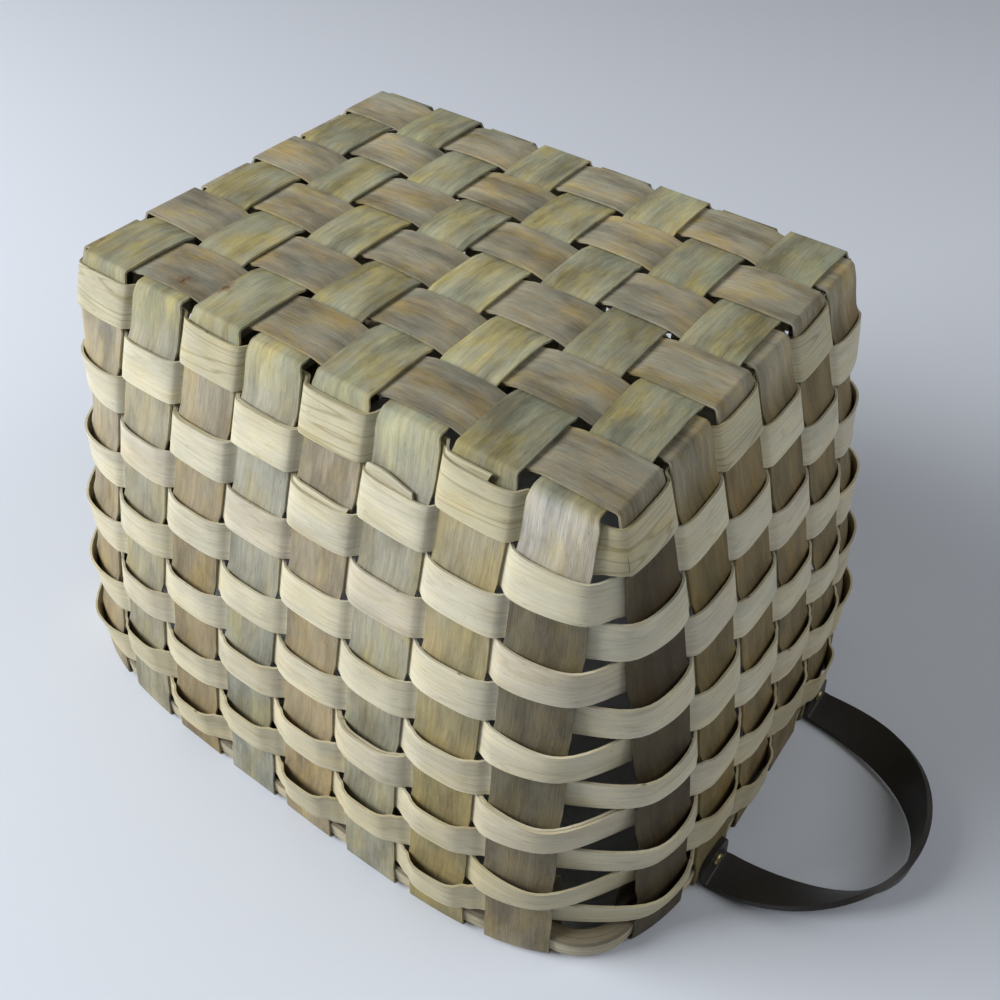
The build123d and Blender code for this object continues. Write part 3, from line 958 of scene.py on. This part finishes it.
def splint_finish(name, heights, tint, seed, roughness, lines, fuzz, grain, mottle):
    """Split wood: a shade that changes with height, under films of patches, hues and grain."""
    dice = Random(seed)
    a, b, c = dice.uniform(0, 50), dice.uniform(0, 50), dice.uniform(0, 50)
    finish, shader = new_finish(name, roughness)
    tree = finish.node_tree
    places = tree.nodes.new("ShaderNodeTexCoord")
    uv = places.outputs["UV"]
    height = height_share(tree, places.outputs["Object"])

    def towards_base(wall_share):
        return ramp(tree, height, [(0.97, grey(wall_share * mottle)), (1.0, grey(mottle))])

    tinted = tree.nodes.new("ShaderNodeRGB")
    tinted.outputs[0].default_value = (*tint, 1)
    spots = grain_noise(tree, uv, (28, 95, 1), (b, c, 0), 4, 0.6)
    patches = grain_noise(tree, uv, (24, 80, 1), (a, b, c), 5, 0.65)
    clouds = grain_noise(tree, uv, (33, 60, 1), (c, b, 0), 5, 0.7)
    streaks = grain_noise(tree, uv, (13, 800, 1), (a, b, c), 4, 0.65)
    rings = grain_noise(tree, uv, (7, 75, 1), (c, a, 0), 2, 0.4)
    fibres = grain_noise(tree, uv, (110, 3000, 1), (a, b, c), 3, 0.7)
    pores = grain_noise(tree, uv, (220, 2300, 1), (b, a, 0), 2, 0.5)
    # The colours by height carry painted shade: on the long stakes' walls, beside the near corner
    # and on the hoop's top edge.
    colour = ramp(tree, height, heights)
    for amount, film in (
        (ramp(tree, spots, TINT_STOPS), tinted.outputs[0]),
        (towards_base(WALL_MOTTLE), ramp(tree, patches, PATCH_STOPS)),
        (towards_base(WALL_HUES), ramp(tree, clouds, HUE_STOPS)),
        (grain, ramp(tree, streaks, STREAK_STOPS)),
        (lines, growth_lines(tree, rings)),
        (grain, ramp(tree, fibres, FIBRE_STOPS)),
        (PORES, ramp(tree, pores, PORE_STOPS)),
    ):
        colour = filmed(tree, amount, colour, film)
    tree.links.new(colour, shader.inputs["Base Color"])
    add_bump(tree, shader, fibres, fuzz, FIBRE_DEPTH)
    return finish


def wear(piece, *finishes):
    """Give a piece its finish, and its cut edges a second one."""
    piece.data.materials.clear()
    for finish in finishes:
        piece.data.materials.append(finish)


# %% [markdown]
# Every stake has a shade of its own down the wall, darker and browner than in the base, a little
# lighter towards the base, and greyer there. The long stakes' wall colour is partly darker wood and
# partly painted shade, since their end in view lies on the shaded right wall; the first long stake,
# at the near corner, is painted darkest. The stakes that cross the base run greenish, the long ones
# brownish. The stake beside the near corner is silvery at its top and painted darker below, partly
# painted shade of the corner. Two stakes have a small knot near the base's left end: the distance
# from its middle, bent a little by a noise, darkens the wood.

# %% Knots
KNOT_RIPPLE_SCALE = 400
KNOT_RIPPLE = 0.006
KNOT_STOPS = [(0.15, (0.30, 0.22, 0.18)), (0.4, (0.80, 0.62, 0.52)), (0.9, grey(1))]
KNOTS = {
    "long_stake_1_splint": ((-63.8, -73.6, 205.4), 1.8),
    "cross_stake_3_splint": ((-49.3, -68.6, 205.4), 2.2),
}


def add_knot(finish, place, radius):
    """A dark knot with a reddish ring, at a place in millimetres."""
    tree = finish.node_tree
    nodes, links = tree.nodes, tree.links
    here = nodes.new("ShaderNodeTexCoord").outputs["Object"]
    ripple = nodes.new("ShaderNodeTexNoise")
    ripple.inputs["Scale"].default_value = KNOT_RIPPLE_SCALE
    links.new(here, ripple.inputs["Vector"])
    bent = nodes.new("ShaderNodeVectorMath")
    bent.operation = "MULTIPLY_ADD"
    bent.inputs[1].default_value = (KNOT_RIPPLE, KNOT_RIPPLE, 0.0)
    links.new(ripple.outputs["Color"], bent.inputs[0])
    links.new(here, bent.inputs[2])
    away = nodes.new("ShaderNodeVectorMath")
    away.operation = "DISTANCE"
    away.inputs[1].default_value = Vector(place) * MM
    links.new(bent.outputs["Vector"], away.inputs[0])
    share = nodes.new("ShaderNodeMath")
    share.operation = "DIVIDE"
    share.inputs[1].default_value = 2 * radius * MM
    links.new(away.outputs["Value"], share.inputs[0])
    base_colour = nodes["Principled BSDF"].inputs["Base Color"]
    under = base_colour.links[0].from_socket
    knot = ramp(tree, share.outputs["Value"], KNOT_STOPS)
    links.new(filmed(tree, 1.0, under, knot), base_colour)


# %% Shades of the stakes
STAKE_WOOD = {"roughness": 0.75, "lines": 0.3, "fuzz": 0.7, "grain": 0.75, "mottle": 1.0}
CROSS_BASE, CROSS_TINT = (0.37, 0.362, 0.25), (1.20, 1.15, 0.82)
LONG_BASE, LONG_TINT = (0.37, 0.338, 0.25), (1.14, 1.0, 0.80)
# Wall colours of the crossing stakes; the last one, beside the near corner, is darker, partly
# painted shade of that corner.
CROSS_WALLS_AND_CORNER_SHADE = [
    (0.30, 0.25, 0.165), (0.33, 0.31, 0.225), (0.29, 0.235, 0.14), (0.31, 0.31, 0.25),
    (0.33, 0.27, 0.17), (0.31, 0.30, 0.225), (0.295, 0.25, 0.125), (0.17, 0.15, 0.10),
]
# Wall colours of the long stakes: partly darker wood, partly painted shade of the shaded right
# wall; the first, at the near corner, is painted darkest.
LONG_WALLS_AND_PAINTED_SHADE = [
    (0.085, 0.065, 0.035), (0.19, 0.15, 0.065), (0.22, 0.17, 0.085), (0.20, 0.16, 0.085),
    (0.20, 0.16, 0.085), (0.19, 0.15, 0.08),
]
WEATHERED = (0.43, 0.41, 0.345)
SILVER = (0.50, 0.48, 0.43)
PALE_FOOT = (0.36, 0.31, 0.21)
BROWN_SHIN = (0.27, 0.225, 0.15)
FOLD_LIGHT = 1.04
UPPER_LIGHT = 1.12
DARKEST_BASE = 0.82
BASE_SHADE_STEP = 0.045
BASE_SHADES = 8


def wall_shades(wall, base, crossing):
    """A stake's shades from the mouth to the base, as (share of the height, colour)."""
    fold = scaled(base, FOLD_LIGHT)
    upper = scaled(wall, UPPER_LIGHT)
    if crossing:
        upper = tuple((one + other) / 2 for one, other in zip(upper, WEATHERED))
    return [(0.0, wall), (0.45, wall), (0.90, upper), (0.965, fold), (0.985, fold), (1.0, base)]


cut_edge, cut_edge_shader = new_finish("pale_cut_edge", 0.7)
cut_edge_shader.inputs["Base Color"].default_value = (0.60, 0.56, 0.42, 1)
# wall is each stake's wall colour, which holds painted shade on the long stakes and on the stake
# beside the near corner.
for stake, wall in zip(stakes, CROSS_WALLS_AND_CORNER_SHADE + LONG_WALLS_AND_PAINTED_SHADE):
    seed = sum(ord(letter) for letter in stake.name)
    crossing = "cross" in stake.name
    own_light = DARKEST_BASE + BASE_SHADE_STEP * (seed % BASE_SHADES)
    base = scaled(CROSS_BASE if crossing else LONG_BASE, own_light)
    heights = wall_shades(wall, base, crossing)
    if stake is stakes[CROSS_COUNT - 1]:
        heights = [(0.0, PALE_FOOT), (0.1, BROWN_SHIN), (0.35, wall), (0.81, wall),
                   (0.85, SILVER), (0.985, SILVER), (1.0, base)]
    tint = CROSS_TINT if crossing else LONG_TINT
    finish = splint_finish(stake.name + "_wood", heights, tint, seed, **STAKE_WOOD)
    if stake.name in KNOTS:
        add_knot(finish, *KNOTS[stake.name])
    wear(stake, finish, cut_edge)
print("stake finishes", len(stakes))

# %% [markdown]
# The weavers are paler, cut from smoother wood, and each row is one strip with one shade. The first
# row has clear growth lines, and the rows near the mouth have darkened with handling.

# %% Shades of the weavers
WEAVER_WOOD = {"roughness": 0.55, "lines": 0.3, "fuzz": 0.25, "grain": 0.5, "mottle": 0.45}
FIRST_WEAVER_WOOD = {**WEAVER_WOOD, "lines": 0.8}
WEAVER_SHADES = [
    (0.54, 0.505, 0.35), (0.635, 0.605, 0.46), (0.625, 0.595, 0.46), (0.605, 0.56, 0.44),
    (0.63, 0.595, 0.45), (0.62, 0.58, 0.43), (0.64, 0.60, 0.45), (0.60, 0.55, 0.41),
    (0.60, 0.55, 0.39), (0.54, 0.49, 0.33), (0.53, 0.48, 0.32),
]
for weaver, shade in zip(weavers, WEAVER_SHADES):
    seed = 3 * sum(ord(letter) for letter in weaver.name)
    first = weaver is weavers[0]
    tint = (1.0, 0.93, 0.72) if first else (1.0, 0.95, 0.84)
    wood = FIRST_WEAVER_WOOD if first else WEAVER_WOOD
    heights = [(0.0, shade), (1.0, shade)]
    wear(weaver, splint_finish(weaver.name + "_wood", heights, tint, seed, **wood), cut_edge)
print("weaver finishes", len(weavers))

# %% [markdown]
# The hoop is the same wood, rougher, and dark at its torn upper edge: partly the rough torn wood,
# partly painted shade where that edge lies under the last row. The straps are dark leather with a
# paler cut edge, and the rivets are brass that has gone dull. Leather and brass have no direction,
# so their noise reads Object coordinates. The rivets keep the CAD model's shape.

# %% Finish of the hoop, straps and rivets
HOOP_WOOD = {"roughness": 0.8, "lines": 0.5, "fuzz": 1.0, "grain": 1.0, "mottle": 0.7}
# The last stop darkens the hoop's top edge: partly rough torn wood, partly painted shade where that
# edge lies under the last row.
HOOP_TONES_AND_PAINTED_TOP_SHADE = [(0.0, (0.56, 0.51, 0.37)), (0.048, (0.52, 0.47, 0.34)), (0.058, (0.24, 0.21, 0.15))]
HOOP_TINT = (0.85, 0.82, 0.75)
HOOP_SEED = 77


def worn_finish(name, colour, roughness, metallic, grain, depth):
    """A plain finish with fine darker specks and a fine bump; depth is in metres."""
    finish, shader = new_finish(name, roughness)
    tree = finish.node_tree
    shader.inputs["Metallic"].default_value = metallic
    cells = tree.nodes.new("ShaderNodeTexNoise")
    cells.inputs["Scale"].default_value = grain
    cells.inputs["Detail"].default_value = 6
    here = tree.nodes.new("ShaderNodeTexCoord").outputs["Object"]
    tree.links.new(here, cells.inputs["Vector"])
    shade = ramp(tree, cells.outputs["Fac"], [(0.3, scaled(colour, 0.65)), (0.7, colour)])
    tree.links.new(shade, shader.inputs["Base Color"])
    add_bump(tree, shader, cells.outputs["Fac"], 0.5, depth)
    return finish


hoop_wood = splint_finish("riven_hoop_wood", HOOP_TONES_AND_PAINTED_TOP_SHADE, HOOP_TINT, HOOP_SEED, **HOOP_WOOD)
strap_leather = worn_finish("dark_strap_leather", (0.026, 0.022, 0.020), 0.45, 0.0, 700, 0.0002)
strap_edge = worn_finish("cut_strap_edge", (0.055, 0.045, 0.038), 0.6, 0.0, 500, 0.0002)
dull_brass = worn_finish("dull_brass", (0.46, 0.39, 0.19), 0.42, 1.0, 900, 0.00005)
wear(hoop, hoop_wood)
for strap in straps:
    wear(strap, strap_leather, strap_edge)
for node in ("handle_rivets", "rivet_burrs"):
    wear(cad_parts[node], dull_brass)
print("finishes", len(bpy.data.materials))

# %% [markdown]
# The light is a large soft lamp from the left, as from a window, a weaker one from the right, and
# the sky's even light. The floor is plain and pale.

# %% Floor and light
FLOOR_SIZE = 12
FLOOR_LEVEL = -0.0004
LAMP_TARGET = (0, 0, 0.1)

bpy.ops.object.select_all(action="DESELECT")
bpy.ops.mesh.primitive_plane_add(size=FLOOR_SIZE, location=(0, 0, FLOOR_LEVEL))
floor = bpy.context.object
floor.name = "floor"
pale_floor, floor_shader = new_finish("pale_floor", 0.9)
floor_shader.inputs["Base Color"].default_value = (0.72, 0.77, 0.86, 1)
wear(floor, pale_floor)

sky = bpy.data.worlds.new("soft_sky")
bpy.context.scene.world = sky
sky.use_nodes = True
sky.node_tree.nodes["Background"].inputs["Color"].default_value = (1.0, 0.99, 0.97, 1)
sky.node_tree.nodes["Background"].inputs["Strength"].default_value = 0.10


def soft_lamp(name, place, size, power):
    """A square lamp at a place in metres, aimed at the basket."""
    lamp = bpy.data.lights.new(name, "AREA")
    lamp.size = size
    lamp.energy = power
    holder = bpy.data.objects.new(name, lamp)
    bpy.context.collection.objects.link(holder)
    holder.location = place
    aim = Vector(LAMP_TARGET) - Vector(place)
    holder.rotation_euler = aim.to_track_quat("-Z", "Y").to_euler()


soft_lamp("window_left", (-1.20, -1.02, 0.98), 1.1, 42)
soft_lamp("room_right", (1.20, 0.60, 1.15), 1.2, 8.5)
print("lamps", [lamp.name for lamp in bpy.data.lights])

# %% [markdown]
# The camera stands where the square pattern of the base looks as it does in the photograph, above
# the near right corner and turned a little about its own axis.

# %% Camera
CAMERA_PLACE = Vector((202.18, -267.29, 411.37)) * MM
CAMERA_TARGET = Vector((84.1, -97.8, 205.35)) * MM
CAMERA_ROLL = radians(1.68)
eye = bpy.data.cameras.new("camera")
eye.sensor_width = 36
eye.lens = 37.87
eye.clip_start = 0.01
camera = bpy.data.objects.new("camera", eye)
bpy.context.collection.objects.link(camera)
aim = (CAMERA_TARGET - CAMERA_PLACE).to_track_quat("-Z", "Y").to_matrix()
turn = aim @ Matrix.Rotation(CAMERA_ROLL, 3, "Z")
camera.matrix_world = Matrix.Translation(CAMERA_PLACE) @ turn.to_4x4()
bpy.context.scene.camera = camera
bpy.context.scene.view_settings.view_transform = "Standard"
print("camera", tuple(round(value, 3) for value in CAMERA_PLACE))
